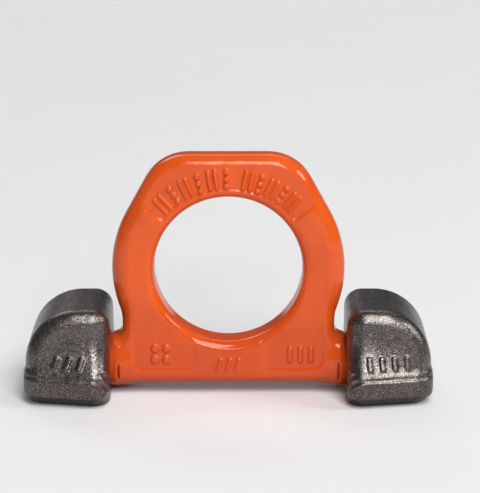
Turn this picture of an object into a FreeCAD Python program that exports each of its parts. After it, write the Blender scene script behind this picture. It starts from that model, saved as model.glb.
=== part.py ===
"""Weld-on load ring, 4 t class: one forged ring that turns on two trunnions inside two weld blocks.

Frame: the origin is the middle of the weld plane, X runs along the trunnion axis, the front of
the object faces -Y and Z is up. The ring stands upright. All lengths are in millimetres.
"""
import FreeCAD
import Part
import math
import os

Vector = FreeCAD.Vector
X_AXIS = Vector(1, 0, 0)
Y_AXIS = Vector(0, 1, 0)
Z_AXIS = Vector(0, 0, 1)
MIRROR_NORMAL = Vector(1, 0, 0)
ORIGIN = Vector(0, 0, 0)

# Ring: the eye is a flat forging with a round hole, a flat top and straight shoulders
eye_centre_height = 41.5
eye_hole_radius = 24.0
eye_outer_radius = 37.6
eye_thickness = 14.0
eye_top_height = 37.7
shoulder_slope = math.radians(61.0)
shoulder_corner_radius = 16.0
outer_edge_round = 5.8
hole_edge_round = 3.5

# Ring: neck between the eye and the foot, heights measured from the hole centre
neck_half_width = 34.4
neck_drop = 17.7
neck_blend_radius = 13.0
neck_root_radius = 4.0

# Ring: flat foot bar
foot_drop = 38.0
foot_edge_round = 4.2
foot_half_length = 37.4

# Ring: trunnions
pivot_drop = 31.6
trunnion_radius = 8.2
trunnion_end = 59.6
trunnion_end_round = 1.5
trunnion_run_in_start = 28.5
trunnion_run_in_end = 33.0
trunnion_run_in_radius = 6.4
collar_start = 36.3
groove_start = 35.3
groove_depth = 0.8
groove_top = 1.6
groove_bottom = -5.4

# Ring: sunken mark field over the hole, on both faces, with plain raised ribs
field_depth = 0.9
field_half_angle = 52.0
field_inner_radius = 26.6
field_inset = 3.5
rib_group_starts = (-43.5, 12.0)
rib_group_counts = (6, 5)
rib_group_pitches = (8.5, 7.5)
rib_inner_radius = 27.1
rib_length = 6.5
rib_width = 1.1
rib_pair_gap = 2.1
rib_height = 0.7
dot_count = 3
dot_radius = 0.95
dot_spacing = 2.35

# Ring: two sunken pads and the raised marks on the foot
pad_depth = 0.45
pad_inner = 11.4
pad_outer = 31.2
pad_bottom_drop = 32.2
pad_top_drop = 23.6
pad_corner_radius = 1.8
mark_height = 0.5
mark_root = 0.2
bar_corner_share = 0.3
pip_radius = 1.25
pip_spacing = 3.7
pip_centre = 22.0
pip_drop = 27.8
bar_length = 5.4
bar_width = 1.5
bar_spacing = 3.4
bar_centre = 23.3
bar_drop = 27.9
centre_bar_length = 4.4
centre_bar_width = 1.2
centre_bar_spacing = 3.0
centre_bar_drop = 31.4
centre_bar_lean = 16.0

# Weld blocks: quarter round seen from the front, drafted and tapered towards the outer end
block_inner_face = 38.2
block_outer_face = 65.2
block_height = 30.3
block_end_radius = 17.2
block_half_depth_top = 16.4
block_half_depth_inner = 22.2
block_half_depth_outer = 17.4
block_flare_start = 12.0
block_flare_power = 2.4
block_edge_round = 4.2

# Weld blocks: two low steps above the weld bevel
band_offsets = (1.1, 1.9)
band_end_offset = 0.7
band_tops = (11.5, 9.1)
band_bottom = 3.0
band_edge_round = 0.5
bevel_width = 4.2
end_bevel_width = 2.4
band_corner_round = 5.0

# Weld blocks: pocket for the trunnion, open at the bottom and blind at the outer end
running_clearance = 0.06
pocket_end = 60.4
pocket_mouth_chamfer = 1.2

# Weld blocks: leaning raised bars on the front face
left_mark_count = 3
right_mark_count = 4
block_mark_length = 4.9
block_mark_width = 2.0
block_mark_height = 0.5
block_mark_root = 1.6
block_mark_pitch = 4.0
left_mark_lean = -20.0
right_mark_lean = -6.0
block_mark_level = 14.3
block_mark_setback = 13.0

# Clamp springs: a leaf that hugs the underside of the trunnion, hooked into two wall slots
spring_thickness = 0.7
spring_gap = 0.02
spring_start = 43.0
spring_end = 56.0
spring_half_angle = 52.0
spring_tab_reach = 9.6
spring_tab_thickness = 0.8
slot_clearance = 0.05

pivot_height = eye_centre_height - pivot_drop
foot_height = eye_centre_height - foot_drop
pocket_radius = trunnion_radius + running_clearance
half_thickness = eye_thickness / 2.0
margin = 5.0
tolerance = 0.001
section_levels = (0.0, 12.0, 20.0, 28.0, 36.0)


def arc_through(centre_x, centre_z, radius, start_angle, end_angle, level_y):
    """Circular edge in a plane of constant Y, through its two ends and its middle."""
    points = []
    for part_of_sweep in (0.0, 0.5, 1.0):
        angle = start_angle + (end_angle - start_angle) * part_of_sweep
        x = centre_x + radius * math.cos(angle)
        z = centre_z + radius * math.sin(angle)
        points.append(Vector(x, level_y, z))
    return Part.Arc(points[0], points[1], points[2]).toShape()


def ring_outline(inset, level_y):
    """Closed outline of the flat forging, moved inwards by inset, in the plane Y = level_y."""
    quarter_turn = math.pi / 2.0
    shoulder_angle = quarter_turn - shoulder_slope
    corner_offset = (eye_outer_radius - shoulder_corner_radius) - math.cos(shoulder_slope) * (
        eye_top_height - shoulder_corner_radius)
    corner_x = corner_offset / math.sin(shoulder_slope)
    corner_z = eye_centre_height + eye_top_height - shoulder_corner_radius
    corner_radius = shoulder_corner_radius - inset
    outer_radius = eye_outer_radius - inset

    blend_x = math.sqrt((eye_outer_radius + neck_blend_radius) ** 2 - neck_drop ** 2)
    blend_z = eye_centre_height - neck_drop
    blend_angle = math.atan2(-neck_drop, blend_x)
    blend_radius = neck_blend_radius + inset
    neck_x = blend_x - neck_blend_radius

    root_x = neck_x + neck_root_radius
    root_z = pivot_height + trunnion_radius + neck_root_radius
    root_radius = neck_root_radius + inset
    bottom_z = foot_height + inset
    side_x = root_x

    side_edges = [
        arc_through(corner_x, corner_z, corner_radius, quarter_turn, shoulder_angle, level_y),
        Part.makeLine(
            Vector(corner_x + corner_radius * math.cos(shoulder_angle), level_y,
                   corner_z + corner_radius * math.sin(shoulder_angle)),
            Vector(outer_radius * math.cos(shoulder_angle), level_y,
                   eye_centre_height + outer_radius * math.sin(shoulder_angle))),
        arc_through(0.0, eye_centre_height, outer_radius, shoulder_angle, blend_angle, level_y),
        arc_through(blend_x, blend_z, blend_radius, blend_angle + math.pi, math.pi, level_y),
        Part.makeLine(Vector(neck_x - inset, level_y, blend_z),
                      Vector(neck_x - inset, level_y, root_z)),
        arc_through(root_x, root_z, root_radius, math.pi, math.pi + quarter_turn, level_y),
        Part.makeLine(Vector(side_x, level_y, root_z - root_radius),
                      Vector(side_x, level_y, bottom_z)),
    ]
    edges = list(side_edges)
    for edge in side_edges:
        edges.append(edge.mirror(ORIGIN, MIRROR_NORMAL))
    top_z = eye_centre_height + eye_top_height - inset
    edges.append(Part.makeLine(Vector(-corner_x, level_y, top_z), Vector(corner_x, level_y, top_z)))
    edges.append(Part.makeLine(Vector(-side_x, level_y, bottom_z), Vector(side_x, level_y, bottom_z)))
    return Part.Wire(Part.__sortEdges__(edges))


def make_plate():
    """Flat forging: eye, neck and foot, with rounded outer edges and the hole."""
    face = Part.Face(ring_outline(0.0, -half_thickness))
    plate = face.extrude(Vector(0, eye_thickness, 0))
    upper_edges = []
    for edge in plate.Edges:
        box = edge.BoundBox
        in_face = box.YLength < tolerance
        is_bottom = box.ZMax < foot_height + tolerance
        is_side = box.XLength < tolerance and abs(edge.CenterOfMass.x) > neck_half_width + tolerance
        if in_face and not is_bottom and not is_side:
            upper_edges.append(edge)
    plate = plate.makeFillet(outer_edge_round, upper_edges)
    bottom_edges = []
    for edge in plate.Edges:
        box = edge.BoundBox
        if box.YLength < tolerance and box.ZMax < foot_height + tolerance:
            bottom_edges.append(edge)
    plate = plate.makeFillet(foot_edge_round, bottom_edges)
    hole = Part.makeCylinder(eye_hole_radius, 2 * eye_thickness,
                             Vector(0, -eye_thickness, eye_centre_height), Y_AXIS)
    plate = plate.cut(hole)
    hole_edges = []
    for edge in plate.Edges:
        curve = edge.Curve
        if isinstance(curve, Part.Circle) and abs(curve.Radius - eye_hole_radius) < tolerance:
            if abs(curve.Center.x) < tolerance and abs(curve.Center.z - eye_centre_height) < tolerance:
                hole_edges.append(edge)
    plate = plate.makeFillet(hole_edge_round, hole_edges)
    foot_trim = Part.makeBox(2 * foot_half_length, 2 * eye_thickness, pivot_height + 2 * trunnion_radius,
                             Vector(-foot_half_length, -eye_thickness, 0))
    eye_trim = Part.makeBox(4 * eye_outer_radius, 2 * eye_thickness, 4 * eye_outer_radius,
                            Vector(-2 * eye_outer_radius, -eye_thickness,
                                   pivot_height + 2 * trunnion_radius))
    return plate.common(foot_trim.fuse(eye_trim))


def make_trunnion():
    """Right trunnion: run-in on the foot, slight swell at the root, plain round pin."""
    root_x = neck_half_width + neck_root_radius
    flare_radius = trunnion_radius + neck_root_radius - math.sqrt(
        neck_root_radius ** 2 - (root_x - collar_start) ** 2)
    flare_middle_x = (collar_start + root_x) / 2.0
    flare_middle_radius = trunnion_radius + neck_root_radius - math.sqrt(
        neck_root_radius ** 2 - (root_x - flare_middle_x) ** 2)

    def at(x, radius):
        return Vector(x, 0, pivot_height + radius)

    round_start = trunnion_end - trunnion_end_round
    quarter = math.sqrt(0.5)
    edges = [
        Part.makeLine(at(trunnion_run_in_start, 0), at(trunnion_run_in_start, trunnion_run_in_radius)),
        Part.makeLine(at(trunnion_run_in_start, trunnion_run_in_radius),
                      at(trunnion_run_in_end, trunnion_radius)),
        Part.makeLine(at(trunnion_run_in_end, trunnion_radius), at(collar_start, flare_radius)),
        Part.Arc(at(collar_start, flare_radius), at(flare_middle_x, flare_middle_radius),
                 at(root_x, trunnion_radius)).toShape(),
        Part.makeLine(at(root_x, trunnion_radius), at(round_start, trunnion_radius)),
        Part.Arc(at(round_start, trunnion_radius),
                 at(round_start + trunnion_end_round * quarter,
                    trunnion_radius - trunnion_end_round * (1.0 - quarter)),
                 at(trunnion_end, trunnion_radius - trunnion_end_round)).toShape(),
        Part.makeLine(at(trunnion_end, trunnion_radius - trunnion_end_round), at(trunnion_end, 0)),
        Part.makeLine(at(trunnion_end, 0), at(trunnion_run_in_start, 0)),
    ]
    profile = Part.Face(Part.Wire(edges))
    return profile.revolve(Vector(0, 0, pivot_height), X_AXIS, 360)


def make_groove():
    """Short shallow groove at the trunnion root, on the front and on the back."""
    width = collar_start - groove_start
    base = Vector(groove_start, 0, pivot_height)
    outer = Part.makeCylinder(2 * trunnion_radius, width, base, X_AXIS)
    core = Part.makeCylinder(trunnion_radius - groove_depth, width, base, X_AXIS)
    keep = Part.makeBox(width, 4 * trunnion_radius, groove_top - groove_bottom,
                        Vector(groove_start, -2 * trunnion_radius, pivot_height + groove_bottom))
    return outer.cut(core).common(keep)


def make_field():
    """Sunken field over the hole on the front face, bounded by two radial end walls."""
    bottom_y = -half_thickness + field_depth
    depth = field_depth + margin
    region = Part.Face(ring_outline(field_inset, bottom_y)).extrude(Vector(0, -depth, 0))
    core = Part.makeCylinder(field_inner_radius, depth, Vector(0, bottom_y, eye_centre_height),
                             Vector(0, -1, 0))
    reach = 3 * eye_outer_radius
    angle = math.radians(field_half_angle)
    centre = Vector(0, bottom_y, eye_centre_height)
    right = centre + Vector(reach * math.sin(angle), 0, reach * math.cos(angle))
    left = centre + Vector(-reach * math.sin(angle), 0, reach * math.cos(angle))
    top = centre + Vector(0, 0, 2 * reach)
    sector = Part.Face(Part.makePolygon([centre, right, top, left, centre]))
    return region.cut(core).common(sector.extrude(Vector(0, -depth, 0)))


def raised_bar(length, width, height, root):
    """Bar that lies along Z on the plane Y = 0: it stands out by height and is rooted by root."""
    bar = Part.makeBox(width, height + root, length, Vector(-width / 2.0, -height, -length / 2.0))
    upright = [edge for edge in bar.Edges if edge.BoundBox.YLength > height]
    return bar.makeFillet(width * bar_corner_share, upright)


def make_upright_pair():
    """Two long bars side by side."""
    pair = []
    for side in (-1, 1):
        bar = raised_bar(rib_length, rib_width, rib_height, mark_root)
        bar.translate(Vector(side * rib_pair_gap / 2.0, 0, 0))
        pair.append(bar)
    return pair


def make_dots():
    """Round dots, one above the other."""
    dots = []
    for index in range(dot_count):
        centre = Vector(0, -rib_height, (index - (dot_count - 1) / 2.0) * dot_spacing)
        dots.append(Part.makeCylinder(dot_radius, rib_height + mark_root, centre, Y_AXIS))
    return dots


def make_ribs():
    """Plain raised marks in the sunken field: pairs of bars and dots by turns, round the hole."""
    floor_y = -half_thickness + field_depth
    ribs = []
    for start, count, pitch in zip(rib_group_starts, rib_group_counts, rib_group_pitches):
        for index in range(count):
            group = make_dots() if index % 2 else make_upright_pair()
            for rib in group:
                rib.translate(Vector(0, floor_y, rib_inner_radius + rib_length / 2.0))
                rib.rotate(ORIGIN, Y_AXIS, start + index * pitch)
                rib.translate(Vector(0, 0, eye_centre_height))
                ribs.append(rib)
    return ribs


def make_pad(side):
    """Sunken pad on the foot, on the front face."""
    width = pad_outer - pad_inner
    height = pad_bottom_drop - pad_top_drop
    pad = Part.makeBox(width, pad_depth + margin, height)
    pad = pad.makeFillet(pad_corner_radius, [e for e in pad.Edges if e.BoundBox.YLength > pad_depth])
    left = pad_inner if side > 0 else -pad_outer
    pad.translate(Vector(left, -half_thickness - margin, eye_centre_height - pad_bottom_drop))
    return pad


def make_foot_marks():
    """Four round pips on the left pad, three bars on the right pad, three leaning bars between."""
    marks = []
    pad_floor_y = -half_thickness + pad_depth
    for column in (-0.5, 0.5):
        for row in (-0.5, 0.5):
            centre = Vector(column * pip_spacing - pip_centre, pad_floor_y - mark_height,
                            eye_centre_height - pip_drop + row * pip_spacing)
            marks.append(Part.makeCylinder(pip_radius, mark_height + mark_root, centre, Y_AXIS))
    for index in (-1, 0, 1):
        bar = raised_bar(bar_length, bar_width, mark_height, mark_root)
        bar.translate(Vector(bar_centre + index * bar_spacing, pad_floor_y, eye_centre_height - bar_drop))
        marks.append(bar)
        leaning = raised_bar(centre_bar_length, centre_bar_width, mark_height, mark_root)
        leaning.rotate(ORIGIN, Y_AXIS, centre_bar_lean)
        leaning.translate(Vector(index * centre_bar_spacing, -half_thickness,
                                 eye_centre_height - centre_bar_drop))
        marks.append(leaning)
    return marks


def other_face(shape):
    """The same feature on the back face: half a turn about the Z axis."""
    copy = shape.copy()
    copy.rotate(ORIGIN, Z_AXIS, 180)
    return copy


def make_load_ring():
    """The complete forged ring."""
    ring = make_plate()
    trunnion = make_trunnion()
    ring = ring.fuse([trunnion, trunnion.mirror(ORIGIN, MIRROR_NORMAL)])
    groove = make_groove()
    cuts = [groove, groove.mirror(ORIGIN, MIRROR_NORMAL)]
    for feature in (make_field(), make_pad(-1), make_pad(1)):
        cuts.append(feature)
        cuts.append(other_face(feature))
    ring = ring.cut(cuts)
    marks = make_ribs() + make_foot_marks()
    marks = marks + [other_face(mark) for mark in marks]
    ring = ring.fuse(marks)
    return ring.removeSplitter()


def half_depth(along, height):
    """Half depth of the block body; along runs from 0 at the inner face to 1 at the outer end."""
    rise = min(1.0, max(0.0, (height - block_flare_start) / (block_height - block_flare_start)))
    foot = block_half_depth_inner + (block_half_depth_outer - block_half_depth_inner) * along
    return block_half_depth_top + (foot - block_half_depth_top) * (1.0 - rise) ** block_flare_power


def plan_corners(grow, end_grow, height):
    """Corners of the block seen from above at a height, grown at the sides and at the outer end."""
    inner_half = half_depth(0.0, height) + grow
    outer_half = half_depth(1.0, height) + grow
    inner = block_inner_face
    outer = block_outer_face + end_grow
    return [Vector(inner, -inner_half, 0), Vector(outer, -outer_half, 0),
            Vector(outer, outer_half, 0), Vector(inner, inner_half, 0)]


def rounded_outline(corners, radius, level):
    """Closed outline through corners, each one rounded, at a height."""
    starts = []
    middles = []
    ends = []
    for index, corner in enumerate(corners):
        before = (corners[index - 1] - corner).normalize()
        after = (corners[(index + 1) % len(corners)] - corner).normalize()
        half_angle = before.getAngle(after) / 2.0
        bisector = (before + after).normalize()
        starts.append(corner + before * (radius / math.tan(half_angle)))
        ends.append(corner + after * (radius / math.tan(half_angle)))
        middles.append(corner + bisector * (radius / math.sin(half_angle) - radius))
    lift = Vector(0, 0, level)
    edges = []
    for index, middle in enumerate(middles):
        edges.append(Part.Arc(starts[index] + lift, middle + lift, ends[index] + lift).toShape())
        following = (index + 1) % len(corners)
        edges.append(Part.makeLine(ends[index] + lift, starts[following] + lift))
    return Part.Wire(edges)


def make_flared_prism():
    """Block seen from above at every height: straight below, drawn in towards the top."""
    sections = []
    for level in section_levels:
        corners = plan_corners(0.0, 0.0, level)
        sections.append(Part.makePolygon([c + Vector(0, 0, level) for c in corners + corners[:1]]))
    return Part.makeLoft(sections, True, False)


def make_block_body():
    """Quarter-round body with flared sides and rounded edges."""
    prism = make_flared_prism()
    arc_x = block_outer_face - block_end_radius
    arc_z = block_height - block_end_radius
    reach = 2 * block_half_depth_inner
    corners = [Vector(block_outer_face, -reach, arc_z), Vector(block_outer_face, -reach, band_bottom),
               Vector(block_inner_face, -reach, band_bottom), Vector(block_inner_face, -reach, block_height),
               Vector(arc_x, -reach, block_height)]
    edges = [Part.makeLine(first, second) for first, second in zip(corners, corners[1:])]
    edges.append(arc_through(arc_x, arc_z, block_end_radius, math.pi / 2.0, 0.0, -reach))
    profile = Part.Face(Part.Wire(edges)).extrude(Vector(0, 2 * reach, 0))
    body = prism.common(profile)
    round_edges = []
    for edge in body.Edges:
        box = edge.BoundBox
        on_floor = box.ZMax < band_bottom + tolerance
        across_inner_face = box.XMax < block_inner_face + tolerance
        across = box.YLength > block_half_depth_top
        if not on_floor and (across_inner_face or not across):
            round_edges.append(edge)
    return body.makeFillet(block_edge_round, round_edges)


def make_block_step(grow, top):
    """One low step round the block, above the weld bevel."""
    corners = plan_corners(grow, band_end_offset, 0.0)
    outline = rounded_outline(corners, band_corner_round, band_bottom)
    step = Part.Face(outline).extrude(Vector(0, 0, top - band_bottom))
    top_edges = [edge for edge in step.Edges if edge.BoundBox.ZMin > top - tolerance]
    return step.makeFillet(band_edge_round, top_edges)


def make_bevel_core():
    """Foot of the block between the weld plane and the steps, bevelled for the weld."""
    grow = max(band_offsets)
    upper_corners = plan_corners(grow, band_end_offset, 0.0)
    lower_corners = plan_corners(grow - bevel_width, band_end_offset - end_bevel_width, 0.0)
    lower = rounded_outline(lower_corners, band_corner_round, 0.0)
    upper = rounded_outline(upper_corners, band_corner_round, band_bottom)
    return Part.makeLoft([lower, upper], True, True)


def make_pocket():
    """Space for the trunnion: a round seat, open downwards, with a bevelled mouth."""
    start = block_inner_face - margin
    length = pocket_end - start
    axis_point = Vector(start, 0, pivot_height)
    seat = Part.makeCylinder(pocket_radius, length, axis_point, X_AXIS)
    opening = Part.makeBox(length, 2 * pocket_radius, pivot_height + margin,
                           Vector(start, -pocket_radius, -margin))
    mouth_radius = pocket_radius + pocket_mouth_chamfer
    mouth = Part.makeCone(mouth_radius, pocket_radius, pocket_mouth_chamfer,
                          Vector(block_inner_face, 0, pivot_height), X_AXIS)
    return seat.fuse([opening, mouth])


def spring_tab_level():
    """Height of the spring ends, where the leaf hooks into the wall slots."""
    middle_radius = trunnion_radius + spring_gap + spring_thickness / 2.0
    return pivot_height - middle_radius * math.cos(math.radians(spring_half_angle))


def make_spring_slots():
    """Two slots in the pocket walls that hold the spring ends."""
    level = spring_tab_level()
    half = spring_tab_thickness / 2.0 + slot_clearance
    reach = spring_tab_reach + slot_clearance
    return Part.makeBox(spring_end - spring_start + 2 * slot_clearance, 2 * reach, 2 * half,
                        Vector(spring_start - slot_clearance, -reach, level - half))


def make_clamp_spring():
    """Right clamp spring: bent leaf under the trunnion with two hooked ends."""
    inner = trunnion_radius + spring_gap
    outer = inner + spring_thickness
    length = spring_end - spring_start
    axis_point = Vector(spring_start, 0, pivot_height)
    tube = Part.makeCylinder(outer, length, axis_point, X_AXIS)
    tube = tube.cut(Part.makeCylinder(inner, length, axis_point, X_AXIS))
    angle = math.radians(spring_half_angle)
    reach = 3 * outer
    corner_y = reach * math.sin(angle)
    corner_z = pivot_height - reach * math.cos(angle)
    points = [Vector(spring_start, 0, pivot_height), Vector(spring_start, corner_y, corner_z),
              Vector(spring_start, 0, pivot_height - 2 * reach),
              Vector(spring_start, -corner_y, corner_z), Vector(spring_start, 0, pivot_height)]
    wedge = Part.Face(Part.makePolygon(points)).extrude(Vector(length, 0, 0))
    leaf = tube.common(wedge)
    level = spring_tab_level()
    tabs = Part.makeBox(length, 2 * spring_tab_reach, spring_tab_thickness,
                        Vector(spring_start, -spring_tab_reach, level - spring_tab_thickness / 2.0))
    clear = Part.makeCylinder(inner, length, axis_point, X_AXIS)
    tabs = tabs.cut(clear)
    return leaf.fuse(tabs).removeSplitter()


def make_block_marks(count, lean):
    """Leaning raised bars on the front face of the right block."""
    along = block_mark_setback / (block_outer_face - block_inner_face)
    run = block_outer_face - block_inner_face
    taper = (half_depth(0.0, block_mark_level) - half_depth(1.0, block_mark_level)) / run
    half_mark = block_mark_length / 2.0
    lower = half_depth(along, block_mark_level - half_mark)
    upper = half_depth(along, block_mark_level + half_mark)
    draft = (lower - upper) / block_mark_length
    face_y = -half_depth(along, block_mark_level)
    marks = []
    for index in range(count):
        mark = raised_bar(block_mark_length, block_mark_width, block_mark_height, block_mark_root)
        mark.rotate(ORIGIN, Y_AXIS, lean)
        mark.translate(Vector((index - (count - 1) / 2.0) * block_mark_pitch, 0, 0))
        mark.rotate(ORIGIN, X_AXIS, -math.degrees(math.atan(draft)))
        mark.rotate(ORIGIN, Z_AXIS, math.degrees(math.atan(taper)))
        mark.translate(Vector(block_inner_face + block_mark_setback, face_y, block_mark_level))
        marks.append(mark)
    return marks


def make_weld_block(mark_count, lean):
    """Right weld block."""
    steps = [make_block_step(grow, top) for grow, top in zip(band_offsets, band_tops)]
    block = make_block_body().fuse(steps + [make_bevel_core()])
    block = block.fuse(make_block_marks(mark_count, lean))
    block = block.cut([make_pocket(), make_spring_slots()])
    return block.removeSplitter()


def save(name, shape):
    """Write one sub-part as one solid."""
    solid = shape.Solids[0] if len(shape.Solids) == 1 else shape
    print(name, len(shape.Solids), solid.isValid(), round(solid.Volume, 1), solid.BoundBox)
    solid.exportStep("parts/" + name + ".step")


os.makedirs("parts", exist_ok=True)
right_spring = make_clamp_spring()
save("load_ring", make_load_ring())
save("right_weld_block", make_weld_block(right_mark_count, right_mark_lean))
save("left_weld_block", make_weld_block(left_mark_count, left_mark_lean).mirror(ORIGIN, MIRROR_NORMAL))
save("right_clamp_spring", right_spring)
save("left_clamp_spring", right_spring.mirror(ORIGIN, MIRROR_NORMAL))
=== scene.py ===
"""Weld-on load ring: looks.

The ring and the weld blocks are distance fields in millimetres, negative inside. mesh_object
turns them into meshes in metres. Materials, lights and camera are in metres.
"""
import math

import bpy
import numpy as np
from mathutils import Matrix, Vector


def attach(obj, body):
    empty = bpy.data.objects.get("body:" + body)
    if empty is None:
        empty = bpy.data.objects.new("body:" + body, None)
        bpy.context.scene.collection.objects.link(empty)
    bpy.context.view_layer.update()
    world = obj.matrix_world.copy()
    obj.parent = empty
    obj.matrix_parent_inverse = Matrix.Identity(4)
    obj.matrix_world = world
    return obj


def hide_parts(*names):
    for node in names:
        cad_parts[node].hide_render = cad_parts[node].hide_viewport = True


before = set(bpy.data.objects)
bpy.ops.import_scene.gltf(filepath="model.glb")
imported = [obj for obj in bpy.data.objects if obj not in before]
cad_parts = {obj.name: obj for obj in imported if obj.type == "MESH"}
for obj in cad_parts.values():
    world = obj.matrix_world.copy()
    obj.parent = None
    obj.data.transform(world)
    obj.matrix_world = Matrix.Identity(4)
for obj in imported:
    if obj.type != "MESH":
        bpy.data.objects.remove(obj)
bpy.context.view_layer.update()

# ---------------------------------------------------------------- ring, as in the CAD model
EYE_Z = 41.5
HOLE_R = 24.0
EYE_R = 37.6
THICK = 14.0
HALF_THICK = THICK / 2.0
TOP = 37.7
SLOPE = math.radians(61.0)
CORNER_R = 16.0
EDGE_R = 5.8
HOLE_EDGE_R = 3.5
NECK_W = 34.4
NECK_DROP = 17.7
BLEND_R = 13.0
ROOT_R = 4.0
FOOT_DROP = 38.0
FOOT_HALF = 37.4

PIVOT_Z = 9.9
TRUNNION_R = 8.2
TRUNNION_END = 59.6
TRUNNION_EDGE_R = 1.5
RUN_IN_X = 28.5
RUN_IN_R = 6.4
SWELL_START = 33.0
SWELL_X = 36.3
SWELL_R = 8.796

FIELD_FLOOR = HALF_THICK - 0.9
FIELD_HALF = math.radians(52.0)
FIELD_INSET = 3.5
RIB_ROWS = ((-43.5, 8.5, 6), (12.0, 7.5, 5))  # first angle, pitch in degrees, count
RIB_MIDDLE_R = 30.35
RIB_HALF_GAP = 1.05
DOT_PITCH = 2.35

PAD_FLOOR = HALF_THICK - 0.45
PAD_IN = 11.4
PAD_DROP = 32.2
PIP_X = 22.0
PIP_DROP = 27.8
PIP_HALF_PITCH = 1.85
BAR_X = 23.3
BAR_DROP = 27.9
BAR_PITCH = 3.4
LEAN = math.radians(16.0)
LEAN_DROP = 31.4
LEAN_PITCH = 3.0

# ------------------------------------- ring, moved towards the photo or needed only by the fields
NECK_EDGE_R = 3.6
EDGE_FADE = (15.0, 33.0)  # heights between which the edge grows from NECK_EDGE_R to EDGE_R
SIDE_RELIEF = 4.0  # the flat ends of the foot bar move out by this much beside the eye
SIDE_FADE = (23.5, 27.0)
RUN_IN_SLOPE = 0.4
RUN_IN_COS = 0.93
RUN_IN_SOFT = 1.6
TRUNNION_BLEND = 2.2
GROOVE_X = 35.8
GROOVE_HALF = 0.26
GROOVE_R = 7.1
GROOVE_DROP = 1.9
GROOVE_HALF_HEIGHT = 3.3
GROOVE_END_SLOPE = 3.0
GROOVE_SOFT = 0.35
FIELD_IN_R = 26.9
FIELD_IN_SLOPE = 0.6
FIELD_CORNERS = (1.6, 1.4)
FIELD_EDGE = 1.0
RIB_HALF = (0.62, 3.25)
RIB_END_R = 0.5
RIB_HEIGHT = 1.12
DOT_R = 1.0
RIB_SOFT = (0.5, 0.4)  # rounding of a mark's top edge, and of the corner at its root
PAD_OUT = 30.6
PAD_DEPTH = 0.32
PAD_SLOPE = 0.5
PAD_FADE = (-22.0, -14.0)
PAD_CORNER = 2.5
PAD_EDGE = 0.9
PIP_R = 1.3
BAR_HALF = (0.8, 2.7)
BAR_END_R = 0.6
LEAN_HALF = (0.65, 2.2)
LEAN_END_R = 0.5
LEAN_HEIGHT = 0.65
MARK_HEIGHT = 0.85
MARK_ROOT = 1.0
MARK_SOFT = (0.5, 0.35)

# ---------------------------------------------------------------- weld blocks, as in the CAD model
BLOCK_IN = 38.2
BLOCK_OUT = 65.2
BLOCK_H = 30.3
BLOCK_ARC = 17.2
BLOCK_TOP_HALF = 16.4
BLOCK_FOOT_IN = 22.2
BLOCK_FOOT_OUT = 17.4
FLARE_Z = 12.0
FLARE_POWER = 2.4
STEP_GROW = (1.1, 1.9)
STEP_TOP = (11.5, 9.1)
STEP_END = 0.7
BEVEL = 4.2
END_BEVEL = 2.4
BEVEL_CORNER_R = 5.0
SEAT_R = 8.26
POCKET_END = 60.4
MOUTH_CHAMFER = 1.2
SLOT_X = 49.5
SLOT_HALF_LENGTH = 6.55
SLOT_REACH = 9.65
SLOT_Z = 4.62
SLOT_HALF_HEIGHT = 0.45
BLOCK_MARK_X = 13.0
BLOCK_MARK_Z = 14.3
BLOCK_MARK_PITCH = 4.0

# ------------------------------ weld blocks, moved towards the photo or needed only by the fields
STEP_ROUND = (2.0, 0.6)
STEP_BLEND = (1.4, 0.8)
STEP_CORNER_R = 5.4
STEP_END_SOFT = 0.3
BLOCK_EDGE_R = 4.4
BLOCK_IN_EDGE_R = 5.8
BEVEL_TOP = 3.4
BEVEL_SCALE = 0.74  # between the scales that would make the side and the end bevel true distances
BEVEL_EDGE_R = 0.8
UNDERSIDE_EDGE_R = 0.3
MOUTH_DEPTH = 1.5
POCKET_SOFT = 0.4
SQRT_HALF = 0.707
BLOCK_MARK_HALF = (0.8, 2.2)
BLOCK_MARK_END_R = 0.6
BLOCK_MARK_HEIGHT = 0.6
BLOCK_MARK_ROOT = 1.2
BLOCK_MARK_SOFT = (0.4, 0.35)

# ---------------------------------------------------------------- grids
RING_STEP = 0.43
RING_GRID = ((-61.0, -10.6, 0.4), (61.0, 10.6, 80.6))
BLOCK_STEP = 0.3
BLOCK_GRID = ((36.0, -26.0, -1.5), (68.0, 26.0, 32.0))
OUTLINE_STEP = 0.4
ROOT_OUTLINE_STEP = 0.3
NEWTON_STEPS = 2
FLATTEST = 0.05  # smallest squared slope that a Newton step divides by
LARGEST_MOVE = 0.5  # of a grid step
CORNERS = [(i, j, k) for i in (0, 1) for j in (0, 1) for k in (0, 1)]


# ---------------------------------------------------------------- distance fields
def smooth_min(a, b, k):
    """Either solid, with the corner between them filled over a width k."""
    h = np.maximum(k - np.abs(a - b), 0.0) / k
    return np.minimum(a, b) - h * h * k * 0.25


def smooth_max(a, b, k):
    """Both solids at once, with the edge between them softened over a width k."""
    return -smooth_min(-a, -b, k)


def round_max(a, b, r):
    """Both solids at once, with the edge between them rounded to radius r."""
    u = np.maximum(a + r, 0.0)
    v = np.maximum(b + r, 0.0)
    return np.minimum(-r, np.maximum(a, b)) + np.sqrt(u * u + v * v)


def step_smooth(v, low, high):
    """0 below low, 1 above high, and a smooth run between them."""
    t = np.clip((v - low) / (high - low), 0.0, 1.0)
    return t * t * (3.0 - 2.0 * t)


def bar_distance(u, v, half_u, half_v, r):
    """Flat rounded bar centred on the origin."""
    a = np.abs(u) - half_u + r
    b = np.abs(v) - half_v + r
    outside = np.sqrt(np.maximum(a, 0.0) ** 2 + np.maximum(b, 0.0) ** 2)
    return outside + np.minimum(np.maximum(a, b), 0.0) - r


def turned(u, v, turn):
    """The same place, in axes turned by the angle turn."""
    return u * math.cos(turn) - v * math.sin(turn), u * math.sin(turn) + v * math.cos(turn)


def grid(low, high, step):
    """The X, Y and Z values of a grid."""
    return [np.arange(a, b + step, step) for a, b in zip(low, high)]


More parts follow.
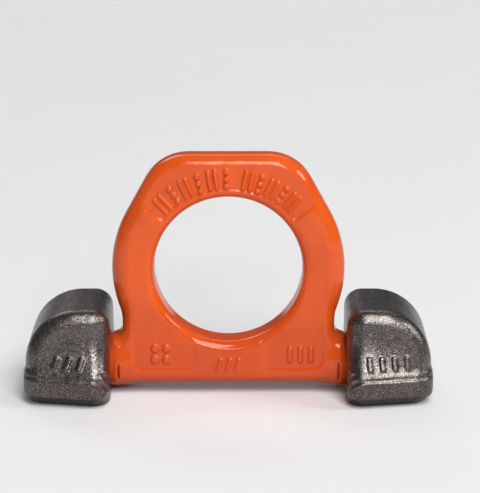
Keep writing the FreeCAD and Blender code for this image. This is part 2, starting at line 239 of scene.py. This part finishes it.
def spread(axes):
    """The X, Y and Z values of a grid, each along its own array axis."""
    x, y, z = axes
    return x[:, None, None], y[None, :, None], z[None, None, :]


def arc_points(cx, cz, r, a0, a1, step):
    count = max(3, int(abs(a1 - a0) * r / step) + 1)
    turn = np.linspace(a0, a1, count)
    return np.stack([cx + r * np.cos(turn), cz + r * np.sin(turn)], 1)


def ring_outline():
    """Closed outline of the flat forging, in X and Z."""
    half_turn = math.pi
    quarter = math.pi / 2.0
    shoulder = quarter - SLOPE
    corner_x = ((EYE_R - CORNER_R) - math.cos(SLOPE) * (TOP - CORNER_R)) / math.sin(SLOPE)
    corner_z = EYE_Z + TOP - CORNER_R
    blend_x = math.sqrt((EYE_R + BLEND_R) ** 2 - NECK_DROP ** 2)
    blend_z = EYE_Z - NECK_DROP
    blend_turn = math.atan2(-NECK_DROP, blend_x)
    root_x = blend_x - BLEND_R + ROOT_R
    root_z = PIVOT_Z + TRUNNION_R + ROOT_R
    right = np.concatenate([
        arc_points(corner_x, corner_z, CORNER_R, quarter, shoulder, OUTLINE_STEP),
        arc_points(0.0, EYE_Z, EYE_R, shoulder, blend_turn, OUTLINE_STEP),
        arc_points(blend_x, blend_z, BLEND_R, blend_turn + half_turn, half_turn, OUTLINE_STEP),
        arc_points(root_x, root_z, ROOT_R, half_turn, half_turn + quarter, ROOT_OUTLINE_STEP),
        np.array([[root_x, EYE_Z - FOOT_DROP]]),
    ])
    left = right[::-1] * np.array([-1.0, 1.0])
    return np.concatenate([right, left])


def outline_distance(x, z, points):
    """Signed distance in the plane to a closed outline, negative inside."""
    px, pz = np.meshgrid(x, z, indexing="ij")
    best = np.full(px.shape, 1e9)
    inside = np.zeros(px.shape, bool)
    for (ax, az), (bx, bz) in zip(points, np.roll(points, -1, axis=0)):
        ex, ez = bx - ax, bz - az
        length2 = ex * ex + ez * ez
        if length2 < 1e-12:
            continue
        t = np.clip(((px - ax) * ex + (pz - az) * ez) / length2, 0.0, 1.0)
        best = np.minimum(best, (px - ax - t * ex) ** 2 + (pz - az - t * ez) ** 2)
        crosses = (az > pz) != (bz > pz)
        if ez != 0.0:
            inside ^= crosses & (px < ax + (pz - az) * ex / ez)
    return np.where(inside, -np.sqrt(best), np.sqrt(best))


# ---------------------------------------------------------------- meshes
def crossed_cells(inside):
    """The grid cells that have corners on both sides of the surface."""
    nx, ny, nz = inside.shape
    count = np.zeros((nx - 1, ny - 1, nz - 1), np.int8)
    for i, j, k in CORNERS:
        count += inside[i:nx - 1 + i, j:ny - 1 + j, k:nz - 1 + k]
    return np.argwhere((count > 0) & (count < len(CORNERS)))


def first_points(field, cells):
    """Mean of the places where the surface crosses each cell's edges, in grid steps."""
    total = np.zeros((len(cells), 3))
    hits = np.zeros(len(cells))
    for axis in range(3):
        one_axis, two_axis = [other for other in range(3) if other != axis]
        for one in (0, 1):
            for two in (0, 1):
                start = cells.copy()
                start[:, one_axis] += one
                start[:, two_axis] += two
                end = start.copy()
                end[:, axis] += 1
                a = field[tuple(start.T)]
                b = field[tuple(end.T)]
                crossed = (a < 0) != (b < 0)
                t = np.where(crossed, a / np.where(crossed, a - b, 1.0), 0.0)
                point = start.astype(float)
                point[:, axis] += t
                total += np.where(crossed[:, None], point, 0.0)
                hits += crossed
    return total / hits[:, None]


def pull_to_surface(field, points, step):
    """The points after a few Newton steps towards the surface."""
    slopes = np.gradient(field, step)
    for _ in range(NEWTON_STEPS):
        cell = np.clip(points.astype(int), 0, np.array(field.shape) - 2)
        part = points - cell
        value = np.zeros(len(points))
        slope = np.zeros((len(points), 3))
        for i, j, k in CORNERS:
            weight = (np.where(i, part[:, 0], 1 - part[:, 0])
                      * np.where(j, part[:, 1], 1 - part[:, 1])
                      * np.where(k, part[:, 2], 1 - part[:, 2]))
            at = (cell[:, 0] + i, cell[:, 1] + j, cell[:, 2] + k)
            value += weight * field[at]
            for axis in range(3):
                slope[:, axis] += weight * slopes[axis][at]
        size = np.maximum((slope ** 2).sum(1), FLATTEST)
        move = -value[:, None] * slope / size[:, None] / step
        points = points + np.clip(move, -LARGEST_MOVE, LARGEST_MOVE)
    return points


def crossing_quads(inside, cells):
    """One quad round each grid edge that crosses the surface, facing outwards."""
    number = np.full([size - 1 for size in inside.shape], -1, np.int32)
    number[tuple(cells.T)] = np.arange(len(cells))
    quads = []
    for axis in range(3):
        low = [slice(None)] * 3
        high = [slice(None)] * 3
        low[axis], high[axis] = slice(0, -1), slice(1, None)
        a, b = inside[tuple(low)], inside[tuple(high)]
        edges = np.argwhere(a != b)
        u, v = (axis + 1) % 3, (axis + 2) % 3
        keep = (edges[:, u] > 0) & (edges[:, v] > 0)
        keep &= (edges[:, u] < inside.shape[u] - 1) & (edges[:, v] < inside.shape[v] - 1)
        edges = edges[keep]
        corners = []
        for du, dv in ((1, 1), (0, 1), (0, 0), (1, 0)):
            at = edges.copy()
            at[:, u] -= du
            at[:, v] -= dv
            corners.append(number[tuple(at.T)])
        quad = np.stack(corners, 1)
        flip = ~a[tuple(edges.T)]
        quad[flip] = quad[flip][:, ::-1]
        quads.append(quad)
    return np.concatenate(quads)


def surface(field, axes, step):
    """Quad mesh of the field's zero surface, one vertex for each crossed cell."""
    inside = field < 0.0
    cells = crossed_cells(inside)
    points = pull_to_surface(field, first_points(field, cells), step)
    origin = np.array([axis[0] for axis in axes])
    return points * step + origin, crossing_quads(inside, cells)


def mesh_object(name, points, quads):
    """Smooth shaded object in metres, from points in millimetres."""
    mesh = bpy.data.meshes.new(name)
    mesh.vertices.add(len(points))
    mesh.vertices.foreach_set("co", (points / 1000.0).astype(np.float32).ravel())
    mesh.loops.add(len(quads) * 4)
    mesh.loops.foreach_set("vertex_index", quads.astype(np.int32).ravel())
    mesh.polygons.add(len(quads))
    mesh.polygons.foreach_set("loop_start", np.arange(0, len(quads) * 4, 4, dtype=np.int32))
    mesh.polygons.foreach_set("use_smooth", np.ones(len(quads), bool))
    mesh.update(calc_edges=True)
    mesh.validate()
    obj = bpy.data.objects.new(name, mesh)
    bpy.context.scene.collection.objects.link(obj)
    return obj


# ---------------------------------------------------------------- ring
def plate_field(flat, x, z, rho, depth):
    """Eye, neck and foot bar."""
    edge = NECK_EDGE_R + (EDGE_R - NECK_EDGE_R) * step_smooth(z, *EDGE_FADE)
    plate = round_max(flat, depth - HALF_THICK, edge)
    plate = np.maximum(plate, round_max(HOLE_R - rho, depth - HALF_THICK, HOLE_EDGE_R))
    side = np.abs(x) - (FOOT_HALF + SIDE_RELIEF * step_smooth(z, *SIDE_FADE))
    return np.maximum(plate, side)


def trunnion_field(x, axis_r):
    """Both trunnions: a cone inside the foot, a collar at the root and the bearing length."""
    ax = np.abs(x)
    root_x = NECK_W + ROOT_R
    flare = np.clip(root_x - np.maximum(ax, SWELL_X), 0.0, ROOT_R)
    grown = np.clip((ax - SWELL_START) / (SWELL_X - SWELL_START), 0.0, 1.0)
    swell = TRUNNION_R + (SWELL_R - TRUNNION_R) * grown
    collar = TRUNNION_R + ROOT_R - np.sqrt(ROOT_R ** 2 - flare ** 2)
    radius = np.where(ax < SWELL_X, swell, collar)
    pin = round_max(axis_r - radius, ax - TRUNNION_END, TRUNNION_EDGE_R)
    run_in = (axis_r - RUN_IN_R - (ax - RUN_IN_X) * RUN_IN_SLOPE) * RUN_IN_COS
    return smooth_max(pin, run_in, RUN_IN_SOFT)


def groove_field(x, z, axis_r):
    """Short upright groove at the root of each trunnion, an ellipse seen from the front."""
    level = (z - PIVOT_Z + GROOVE_DROP) / GROOVE_HALF_HEIGHT
    half = GROOVE_HALF * np.sqrt(np.clip(1.0 - level * level, 0.0, 1.0))
    groove = np.maximum(np.abs(np.abs(x) - GROOVE_X) - half, GROOVE_R - axis_r)
    return np.maximum(groove, np.abs(level) * GROOVE_END_SLOPE - GROOVE_END_SLOPE)


def eye_field(flat, x, up, rho, depth):
    """Sunken field over the eye, on both faces."""
    wall = np.abs(x) * math.cos(FIELD_HALF) - up * math.sin(FIELD_HALF)
    field = smooth_max(flat + FIELD_INSET, wall, FIELD_CORNERS[0])
    field = smooth_max(field, (FIELD_IN_R - rho) * FIELD_IN_SLOPE, FIELD_CORNERS[1])
    return np.maximum(field, FIELD_FLOOR - depth)


def raised(depth, solid, mark, low, high, soft):
    """Add a mark that runs from depth low to depth high, measured from the middle plane."""
    edge, root = soft
    mark = smooth_max(mark, depth - high, edge)
    return smooth_min(solid, np.maximum(mark, low - depth), root)


def add_ribs(ring, face_x, up, depth):
    """Pairs of plain bars and rows of three dots, by turns, in the sunken field."""
    low, high = FIELD_FLOOR - MARK_ROOT, FIELD_FLOOR + RIB_HEIGHT
    for first, pitch, count in RIB_ROWS:
        for index in range(count):
            turn = math.radians(first + index * pitch)
            along = face_x * math.sin(turn) + up * math.cos(turn) - RIB_MIDDLE_R
            across = face_x * math.cos(turn) - up * math.sin(turn)
            if index % 2:
                outer = np.hypot(across, np.abs(along) - DOT_PITCH)
                mark = np.minimum(outer, np.hypot(across, along)) - DOT_R
            else:
                mark = bar_distance(np.abs(across) - RIB_HALF_GAP, along, *RIB_HALF, RIB_END_R)
            ring = raised(depth, ring, mark, low, high, RIB_SOFT)
    return ring


def add_foot_marks(ring, x, face_x, up, depth):
    """Shallow pads that fade out upwards, four pips, three upright and three leaning bars."""
    ax = np.abs(x)
    fade = 1.0 - step_smooth(up, *PAD_FADE)
    pad = smooth_max(PAD_IN - ax, ax - PAD_OUT, PAD_CORNER)
    pad = smooth_max(pad, (-PAD_DROP - up) * PAD_SLOPE, PAD_CORNER)
    pad = np.maximum(pad * PAD_SLOPE, HALF_THICK - PAD_DEPTH * fade - depth)
    ring = smooth_max(ring, -pad, PAD_EDGE)

    low, high = PAD_FLOOR - MARK_ROOT, PAD_FLOOR + MARK_HEIGHT
    pips = np.sqrt((np.abs(face_x + PIP_X) - PIP_HALF_PITCH) ** 2
                   + (np.abs(up + PIP_DROP) - PIP_HALF_PITCH) ** 2) - PIP_R
    ring = raised(depth, ring, pips, low, high, MARK_SOFT)
    for index in (-1, 0, 1):
        u, v = face_x - BAR_X - index * BAR_PITCH, up + BAR_DROP
        bar = bar_distance(u, v, *BAR_HALF, BAR_END_R)
        ring = raised(depth, ring, bar, low, high, MARK_SOFT)
        u, v = turned(face_x - index * LEAN_PITCH, up + LEAN_DROP, LEAN)
        bar = bar_distance(u, v, *LEAN_HALF, LEAN_END_R)
        ring = raised(depth, ring, bar, low, HALF_THICK + LEAN_HEIGHT, MARK_SOFT)
    return ring


def load_ring_field(axes):
    x, y, z = spread(axes)
    flat = outline_distance(axes[0], axes[2], ring_outline())[:, None, :]
    up = z - EYE_Z
    depth = np.abs(y)
    rho = np.sqrt(x * x + up * up)
    axis_r = np.sqrt(y * y + (z - PIVOT_Z) ** 2)
    face_x = np.where(y < 0, x, -x)  # the back face is the front turned half round

    ring = smooth_min(plate_field(flat, x, z, rho, depth), trunnion_field(x, axis_r),
                      TRUNNION_BLEND)
    ring = smooth_max(ring, -groove_field(x, z, axis_r), GROOVE_SOFT)
    ring = smooth_max(ring, -eye_field(flat, x, up, rho, depth), FIELD_EDGE)
    ring = add_ribs(ring, face_x, up, depth)
    return add_foot_marks(ring, x, face_x, up, depth)


def make_load_ring():
    axes = grid(*RING_GRID, RING_STEP)
    field = load_ring_field(axes)
    return mesh_object("forged_ring", *surface(field, axes, RING_STEP))


# ---------------------------------------------------------------- weld blocks
def block_base(axes):
    """Right weld block without its marks and pocket, and the distance to its flared sides."""
    x, y, z = spread(axes)
    depth = np.abs(y)
    along = (x - BLOCK_IN) / (BLOCK_OUT - BLOCK_IN)
    foot_half = BLOCK_FOOT_IN + (BLOCK_FOOT_OUT - BLOCK_FOOT_IN) * along
    rise = np.clip((z - FLARE_Z) / (BLOCK_H - FLARE_Z), 0.0, 1.0)
    half = BLOCK_TOP_HALF + (foot_half - BLOCK_TOP_HALF) * (1.0 - rise) ** FLARE_POWER
    taper = (BLOCK_FOOT_IN - BLOCK_FOOT_OUT) / (BLOCK_OUT - BLOCK_IN)
    slope = FLARE_POWER * (foot_half - BLOCK_TOP_HALF) / (BLOCK_H - FLARE_Z)
    slope = slope * (1.0 - rise) ** (FLARE_POWER - 1.0) * (z > FLARE_Z)
    sides = (depth - half) / np.sqrt(1.0 + taper * taper + slope * slope)
    profile = round_max(x - BLOCK_OUT, z - BLOCK_H, BLOCK_ARC)
    body = round_max(profile, sides, BLOCK_EDGE_R)

    foot_sides = (depth - foot_half) / math.sqrt(1.0 + taper * taper)
    end = x - BLOCK_OUT - STEP_END
    for grow, top, edge, soft in zip(STEP_GROW, STEP_TOP, STEP_ROUND, STEP_BLEND):
        step = round_max(foot_sides - grow, end, STEP_CORNER_R)
        step = round_max(step, z - top, edge)
        body = smooth_min(body, step, soft)
    body = smooth_max(body, end, STEP_END_SOFT)

    under = (BEVEL_TOP - z) / BEVEL_TOP
    side_bevel = foot_sides - STEP_GROW[1] + under * BEVEL
    bevel = round_max(side_bevel, end + under * END_BEVEL, BEVEL_CORNER_R)
    body = round_max(body, bevel * BEVEL_SCALE, BEVEL_EDGE_R)
    body = round_max(body, BLOCK_IN - x, BLOCK_IN_EDGE_R)
    return round_max(body, -z, UNDERSIDE_EDGE_R), sides


def add_block_marks(block, axes, sides, count, lean):
    """Leaning bars on the front face."""
    x, y, z = spread(axes)
    middle = x - BLOCK_IN - BLOCK_MARK_X
    for index in range(count):
        across = middle - (index - (count - 1) / 2.0) * BLOCK_MARK_PITCH
        u, v = turned(across, z - BLOCK_MARK_Z, lean)
        bar = bar_distance(u, v, *BLOCK_MARK_HALF, BLOCK_MARK_END_R)
        bar = smooth_max(bar, sides - BLOCK_MARK_HEIGHT, BLOCK_MARK_SOFT[0])
        bar = np.maximum(bar, np.maximum(-sides - BLOCK_MARK_ROOT, y))
        block = smooth_min(block, bar, BLOCK_MARK_SOFT[1])
    return block


def block_pocket(axes):
    """Space for the trunnion and for the ends of the clamp spring."""
    x, y, z = spread(axes)
    axis_r = np.sqrt(y * y + (z - PIVOT_Z) ** 2)
    pocket = np.where(z > PIVOT_Z, axis_r, np.abs(y)) - SEAT_R
    mouth = (axis_r - SEAT_R - MOUTH_CHAMFER + (x - BLOCK_IN)) * SQRT_HALF
    mouth = np.maximum(mouth, x - BLOCK_IN - MOUTH_DEPTH)
    pocket = np.maximum(np.minimum(pocket, mouth), x - POCKET_END)
    slot = np.maximum(np.abs(y) - SLOT_REACH, np.abs(z - SLOT_Z) - SLOT_HALF_HEIGHT)
    slot = np.maximum(np.abs(x - SLOT_X) - SLOT_HALF_LENGTH, slot)
    return np.minimum(pocket, slot)


def make_blocks():
    """The left and the right weld block; the left one is made as a right one and mirrored."""
    axes = grid(*BLOCK_GRID, BLOCK_STEP)
    base, sides = block_base(axes)
    pocket = block_pocket(axes)
    made = []
    for name, count, lean, mirror in (("forged_block_left", 3, -20.0, -1.0),
                                      ("forged_block_right", 4, -6.0, 1.0)):
        marked = add_block_marks(base, axes, sides, count, math.radians(lean))
        field = smooth_max(marked, -pocket, POCKET_SOFT)
        points, quads = surface(field, axes, BLOCK_STEP)
        if mirror < 0:
            quads = quads[:, ::-1]
        made.append(mesh_object(name, points * np.array([mirror, 1.0, 1.0]), quads))
    return made


# ---------------------------------------------------------------- materials
PAINT_DARK = (0.63, 0.076, 0.008, 1.0)
PAINT_LIGHT = (0.72, 0.096, 0.011, 1.0)
PAINT_WORN = (0.20, 0.03, 0.012, 1.0)
# painted shade: colour the paint darkens to towards the foot
PAINT_FOOT_SHADE = (0.56, 0.060, 0.010, 1.0)
# painted shade: colour of the paint under the foot bar
PAINT_UNDERSIDE_SHADE = (0.22, 0.022, 0.006, 1.0)
STEEL_DARK = (0.080, 0.067, 0.061, 1.0)
STEEL_LIGHT = (0.134, 0.114, 0.105, 1.0)
STEEL_GRAIN = (0.50, 0.465, 0.44, 1.0)
STEEL_RUST = (0.20, 0.055, 0.018, 1.0)
# painted shade: near-black colour for the lower band and the weld bevel
STEEL_SHADE = (0.018, 0.011, 0.007, 1.0)
SPRING_DARK = (0.34, 0.34, 0.36, 1.0)
SPRING_LIGHT = (0.55, 0.55, 0.57, 1.0)
FLOOR_DARK = (0.80, 0.80, 0.805, 1.0)
FLOOR_LIGHT = (0.83, 0.83, 0.83, 1.0)
SKY = (0.96, 0.98, 1.0, 1.0)

# the Mix node names its sockets the same for every data type, so the colour ones go by number
MIX_FACTOR, MIX_FIRST, MIX_SECOND, MIX_RESULT = 0, 6, 7, 2


def new_material(name):
    material = bpy.data.materials.new(name)
    material.use_nodes = True
    tree = material.node_tree
    return material, tree, tree.nodes["Principled BSDF"]


def set_material(obj, material):
    obj.data.materials.clear()
    obj.data.materials.append(material)


def remap(tree, value, low, high, to_low, to_high):
    """Value scaled from low..high to to_low..to_high, and held at the ends."""
    made = tree.nodes.new("ShaderNodeMapRange")
    for name, number in (("From Min", low), ("From Max", high),
                         ("To Min", to_low), ("To Max", to_high)):
        made.inputs[name].default_value = number
    tree.links.new(value, made.inputs["Value"])
    return made.outputs["Result"]


def noise(tree, scale, detail, stretch=(1.0, 1.0, 1.0)):
    """Noise value in object space; scale counts features for each metre."""
    place = tree.nodes.new("ShaderNodeTexCoord")
    squeeze = tree.nodes.new("ShaderNodeMapping")
    squeeze.inputs["Scale"].default_value = stretch
    made = tree.nodes.new("ShaderNodeTexNoise")
    made.inputs["Scale"].default_value = scale
    made.inputs["Detail"].default_value = detail
    tree.links.new(place.outputs["Object"], squeeze.inputs["Vector"])
    tree.links.new(squeeze.outputs["Vector"], made.inputs["Vector"])
    return made.outputs["Fac"]


def patches(tree, scale, detail, low, high, to_low=0.0, to_high=1.0):
    """Noise with its contrast set: to_low where it is below low, to_high above high."""
    return remap(tree, noise(tree, scale, detail), low, high, to_low, to_high)


def specks(tree, scale, size):
    """Small round specks: 1 in the middle of a cell, 0 beyond size, which counts in cells."""
    place = tree.nodes.new("ShaderNodeTexCoord")
    cells = tree.nodes.new("ShaderNodeTexVoronoi")
    cells.inputs["Scale"].default_value = scale
    tree.links.new(place.outputs["Object"], cells.inputs["Vector"])
    return remap(tree, cells.outputs["Distance"], size, size * 0.6, 0.0, 1.0)


def piece_height(tree):
    """Height of the place in the piece's own space, in metres."""
    place = tree.nodes.new("ShaderNodeTexCoord")
    parts = tree.nodes.new("ShaderNodeSeparateXYZ")
    tree.links.new(place.outputs["Object"], parts.inputs["Vector"])
    return parts.outputs["Z"]


def product(tree, first, second):
    made = tree.nodes.new("ShaderNodeMath")
    made.operation = "MULTIPLY"
    tree.links.new(first, made.inputs[0])
    tree.links.new(second, made.inputs[1])
    return made.outputs[0]


def blend(tree, factor, first, second):
    """Colour that runs from first, a colour or a socket, to the colour second."""
    made = tree.nodes.new("ShaderNodeMix")
    made.data_type = "RGBA"
    tree.links.new(factor, made.inputs[MIX_FACTOR])
    if isinstance(first, tuple):
        made.inputs[MIX_FIRST].default_value = first
    else:
        tree.links.new(first, made.inputs[MIX_FIRST])
    made.inputs[MIX_SECOND].default_value = second
    return made.outputs[MIX_RESULT]


def blend_down(tree, level, colour, start, end, amount, tone):
    """Colour above the height start, and mixed with tone by the given amount below end."""
    return blend(tree, remap(tree, level, start, end, 0.0, amount), colour, tone)


def bump(tree, relief, distance, below=None):
    """Relief of the given depth in metres, on top of another relief."""
    made = tree.nodes.new("ShaderNodeBump")
    made.inputs["Strength"].default_value = 1.0
    made.inputs["Distance"].default_value = distance
    tree.links.new(relief, made.inputs["Height"])
    if below is not None:
        tree.links.new(below, made.inputs["Normal"])
    return made.outputs["Normal"]


def paint_material():
    """Glossy orange paint over a forged surface, with painted shade darker towards the foot and
    darkest under the foot bar.
    """
    material, tree, shader = new_material("orange_paint")
    colour = blend(tree, patches(tree, 70.0, 4.0, 0.35, 0.65), PAINT_DARK, PAINT_LIGHT)
    places = patches(tree, 45.0, 2.0, 0.63, 0.70, 0.0, 0.8)
    colour = blend(tree, product(tree, specks(tree, 420.0, 0.16), places), colour, PAINT_WORN)
    level = piece_height(tree)
    # painted shade: the paint darkens towards the foot, standing in for less light on the lower
    # ring
    colour = blend_down(tree, level, colour, 0.034, 0.006, 0.6, PAINT_FOOT_SHADE)
    # painted shade: the lower edge of the foot bar darkened, as the floor under it lies in shadow
    colour = blend_down(tree, level, colour, 0.0062, 0.0036, 0.6, PAINT_UNDERSIDE_SHADE)
    tree.links.new(colour, shader.inputs["Base Color"])
    tree.links.new(patches(tree, 260.0, 3.0, 0.3, 0.7, 0.26, 0.38), shader.inputs["Roughness"])
    forged = bump(tree, noise(tree, 110.0, 2.0), 0.00022)
    peel = bump(tree, noise(tree, 900.0, 2.0), 0.000022, forged)
    tree.links.new(peel, shader.inputs["Normal"])
    tree.links.new(peel, shader.inputs["Coat Normal"])
    shader.inputs["Specular IOR Level"].default_value = 0.0
    shader.inputs["Coat Weight"].default_value = 0.8
    shader.inputs["Coat Roughness"].default_value = 0.11
    return material


def steel_material():
    """Bare forged steel: blasting grain, a few rust specks, and painted shade on the lower band
    and the weld bevel.
    """
    material, tree, shader = new_material("forged_steel")
    colour = blend(tree, patches(tree, 110.0, 5.0, 0.3, 0.7), STEEL_DARK, STEEL_LIGHT)
    grain = patches(tree, 3000.0, 2.0, 0.50, 0.70, 0.0, 0.8)
    colour = blend(tree, grain, colour, STEEL_GRAIN)
    places = patches(tree, 60.0, 2.0, 0.62, 0.68, 0.0, 0.8)
    colour = blend(tree, product(tree, specks(tree, 420.0, 0.22), places), colour, STEEL_RUST)
    level = piece_height(tree)
    # painted shade: the lower band darkened a little, standing in for less reflected light
    colour = blend_down(tree, level, colour, 0.0094, 0.0080, 0.26, STEEL_SHADE)
    # painted shade: the weld bevel made nearly black, as it lies in its own shadow over the floor
    colour = blend_down(tree, level, colour, 0.0038, 0.0030, 0.93, STEEL_SHADE)
    tree.links.new(colour, shader.inputs["Base Color"])
    tree.links.new(patches(tree, 600.0, 3.0, 0.3, 0.7, 0.25, 0.38), shader.inputs["Roughness"])
    shader.inputs["Metallic"].default_value = 0.95
    forged = bump(tree, noise(tree, 130.0, 3.0), 0.00035)
    pitted = bump(tree, noise(tree, 1300.0, 3.0), 0.00009, forged)
    sandy = bump(tree, noise(tree, 3400.0, 2.0), 0.000045, pitted)
    tree.links.new(sandy, shader.inputs["Normal"])
    return material


def spring_material():
    """Spring steel brushed along the leaf."""
    material, tree, shader = new_material("spring_steel")
    brushed = noise(tree, 900.0, 3.0, (0.04, 1.0, 1.0))
    colour = blend(tree, brushed, SPRING_DARK, SPRING_LIGHT)
    tree.links.new(colour, shader.inputs["Base Color"])
    tree.links.new(remap(tree, brushed, 0.3, 0.7, 0.22, 0.42), shader.inputs["Roughness"])
    tree.links.new(bump(tree, brushed, 0.00001), shader.inputs["Normal"])
    shader.inputs["Metallic"].default_value = 1.0
    return material


# ---------------------------------------------------------------- pieces
ring = make_load_ring()
set_material(ring, paint_material())
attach(ring, "ring")
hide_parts("load_ring")

steel = steel_material()
left_block, right_block = make_blocks()
for block, cad_node in ((left_block, "left_weld_block"), (right_block, "right_weld_block")):
    set_material(block, steel)
    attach(block, "weld_blocks")
    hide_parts(cad_node)

spring = spring_material()
for name in ("left_clamp_spring", "right_clamp_spring"):
    set_material(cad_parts[name], spring)


# ---------------------------------------------------------------- floor, light and camera
FLOOR_HALF = 3.0
LIGHT_TARGET = (0.0, 0.0, 0.03)
CAMERA_ELEVATION = math.radians(15.0)
CAMERA_DISTANCE = 0.70
VIEW_WIDTH = 0.15552  # seen across the picture at the camera's target
VIEW_CENTRE_X = 0.00375
VIEW_CENTRE_UP = 0.0063  # above the middle of the eye, along the picture's own height
SENSOR_MM = 36.0


def make_floor():
    mesh = bpy.data.meshes.new("floor")
    half = FLOOR_HALF
    mesh.from_pydata([(-half, -half, 0), (half, -half, 0), (half, half, 0), (-half, half, 0)],
                     [], [(0, 1, 2, 3)])
    floor = bpy.data.objects.new("floor", mesh)
    bpy.context.scene.collection.objects.link(floor)
    material, tree, shader = new_material("floor_white")
    tone = blend(tree, noise(tree, 6.0, 2.0), FLOOR_DARK, FLOOR_LIGHT)
    tree.links.new(tone, shader.inputs["Base Color"])
    shader.inputs["Roughness"].default_value = 0.9
    shader.inputs["Specular IOR Level"].default_value = 0.1
    set_material(floor, material)


def studio_light(name, azimuth, elevation, width, height, power, distance=3.0,
                 target=LIGHT_TARGET, spread=180.0):
    """Rectangular softbox in metres, degrees and watts.

    Azimuth 0 stands in front of the object, 90 on its right.
    """
    data = bpy.data.lights.new(name, "AREA")
    data.shape = "RECTANGLE"
    data.size, data.size_y = width, height
    data.energy = power
    data.spread = math.radians(spread)
    light = bpy.data.objects.new(name, data)
    bpy.context.scene.collection.objects.link(light)
    side, lift = math.radians(azimuth), math.radians(elevation)
    level = math.cos(lift)
    away = Vector((math.sin(side) * level, -math.cos(side) * level, math.sin(lift)))
    light.location = Vector(target) + away * distance
    light.rotation_euler = away.to_track_quat("Z", "Y").to_euler()


def make_camera():
    forward = Vector((0.0, math.cos(CAMERA_ELEVATION), -math.sin(CAMERA_ELEVATION)))
    upward = Vector((0.0, math.sin(CAMERA_ELEVATION), math.cos(CAMERA_ELEVATION)))
    target = Vector((VIEW_CENTRE_X, 0.0, EYE_Z / 1000.0)) + upward * VIEW_CENTRE_UP
    data = bpy.data.cameras.new("camera")
    data.sensor_fit = "HORIZONTAL"
    data.sensor_width = SENSOR_MM
    data.lens = SENSOR_MM * CAMERA_DISTANCE / VIEW_WIDTH
    data.clip_start = 0.01
    camera = bpy.data.objects.new("camera", data)
    bpy.context.scene.collection.objects.link(camera)
    camera.location = target - forward * CAMERA_DISTANCE
    camera.rotation_euler = forward.to_track_quat("-Z", "Y").to_euler()
    bpy.context.scene.camera = camera


def make_world():
    world = bpy.data.worlds.new("studio")
    world.use_nodes = True
    background = world.node_tree.nodes["Background"]
    background.inputs["Color"].default_value = SKY
    background.inputs["Strength"].default_value = 0.11
    bpy.context.scene.world = world


make_floor()
make_camera()
studio_light("key", azimuth=20.0, elevation=52.0, width=1.3, height=2.3, power=77.0)
studio_light("front", azimuth=6.0, elevation=28.0, width=1.4, height=0.4, power=17.0)
studio_light("side", azimuth=82.0, elevation=32.0, width=0.9, height=0.9, power=24.0)
studio_light("back", azimuth=180.0, elevation=75.0, width=2.2, height=0.5, power=3.6,
             distance=1.8, target=(0.0, 1.2, 0.0), spread=90.0)
studio_light("rear", azimuth=205.0, elevation=34.0, width=1.2, height=0.8, power=7.0)
make_world()
bpy.context.scene.view_settings.view_transform = "Standard"
